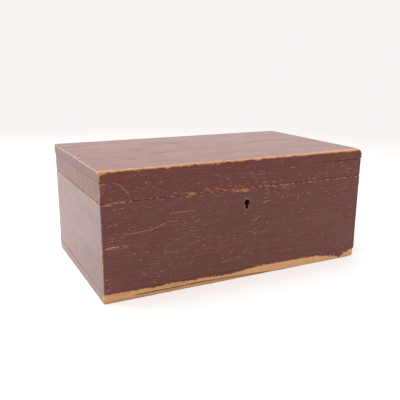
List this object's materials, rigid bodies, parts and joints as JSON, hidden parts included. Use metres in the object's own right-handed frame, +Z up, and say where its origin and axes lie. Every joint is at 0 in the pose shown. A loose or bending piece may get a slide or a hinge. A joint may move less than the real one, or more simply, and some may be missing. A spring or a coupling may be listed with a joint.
{
  "type": "tea caddy",
  "caption": "Painted wooden box with a hinged, locking lid; inside, two foil-lined compartments under lift-out inner lids and an open well between them.",
  "frame": {"origin": "middle of the underside, on the surface that the closed box stands on", "axes": "+Z up, -Y towards the front face with the keyhole, +X towards the right-hand end seen from the front"},
  "size_m": [0.305, 0.178, 0.127],
  "materials": {
    "red_paint": "worn dark red-brown satin paint over pine",
    "bare_pine": "bare, aged, satin from handling",
    "tea_foil": "dull, creased",
    "turned_wood": "dark stained, polished",
    "brass": "tarnished",
    "iron": "dark, lightly rusted"
  },
  "bodies": {
    "box": {"bottom_board": "red_paint", "front_board": "red_paint", "right_side_board": "red_paint", "back_board": "red_paint", "left_side_board": "red_paint", "left_partition": "bare_pine", "left_front_ledge": "bare_pine", "left_back_ledge": "bare_pine", "right_partition": "bare_pine", "right_front_ledge": "bare_pine", "right_back_ledge": "bare_pine", "left_foil_lining": "tea_foil", "right_foil_lining": "tea_foil", "left_hinge_box_leaf": "brass", "right_hinge_box_leaf": "brass", "left_hinge_pin": "brass", "right_hinge_pin": "brass", "box_hinge_left_outer_screw": "brass", "box_hinge_left_inner_screw": "brass", "box_hinge_right_outer_screw": "brass", "box_hinge_right_inner_screw": "brass", "bottom_nail_front_1": "iron", "bottom_nail_front_2": "iron", "bottom_nail_front_3": "iron", "bottom_nail_back_1": "iron", "bottom_nail_back_2": "iron", "bottom_nail_back_3": "iron", "lock_plate": "brass", "lock_case": "iron", "lock_spring": "iron", "lock_drill_pin": "iron", "lock_selvedge_left_screw": "brass", "lock_selvedge_right_screw": "brass", "lock_plate_left_screw": "brass", "lock_plate_right_screw": "brass"},
    "lid": {"lid_top_board": "red_paint", "lid_front_rail": "red_paint", "lid_right_rail": "red_paint", "lid_back_rail": "red_paint", "lid_left_rail": "red_paint", "left_hinge_lid_leaf": "brass", "right_hinge_lid_leaf": "brass", "lid_hinge_left_outer_screw": "brass", "lid_hinge_left_inner_screw": "brass", "lid_hinge_right_outer_screw": "brass", "lid_hinge_right_inner_screw": "brass", "top_nail_left_1": "iron", "top_nail_left_2": "iron", "top_nail_left_3": "iron", "top_nail_right_1": "iron", "top_nail_right_2": "iron", "top_nail_right_3": "iron", "hook_plate": "brass", "hook_plate_left_screw": "brass", "hook_plate_right_screw": "brass"},
    "left_inner_lid": {"left_inner_lid": "bare_pine", "left_knob": "turned_wood"},
    "right_inner_lid": {"right_inner_lid": "bare_pine", "right_knob": "turned_wood"},
    "bolt": {"lock_bolt": "iron"}
  },
  "joints": [
    {"name": "lid_hinge", "type": "hinge", "parent": "box", "child": "lid", "pos_m": [0, 0.0867, 0.0972], "axis": [-1, 0, 0], "range_deg": [0, 98]},
    {"name": "left_inner_lid_lift", "type": "slide", "parent": "box", "child": "left_inner_lid", "axis": [0, 0, 1], "range_m": [0, 0.022]},
    {"name": "right_inner_lid_lift", "type": "slide", "parent": "box", "child": "right_inner_lid", "axis": [0, 0, 1], "range_m": [0, 0.022]},
    {"name": "lock_bolt_slide", "type": "slide", "parent": "box", "child": "bolt", "axis": [1, 0, 0], "range_m": [0, 0.0042]}
  ]
}
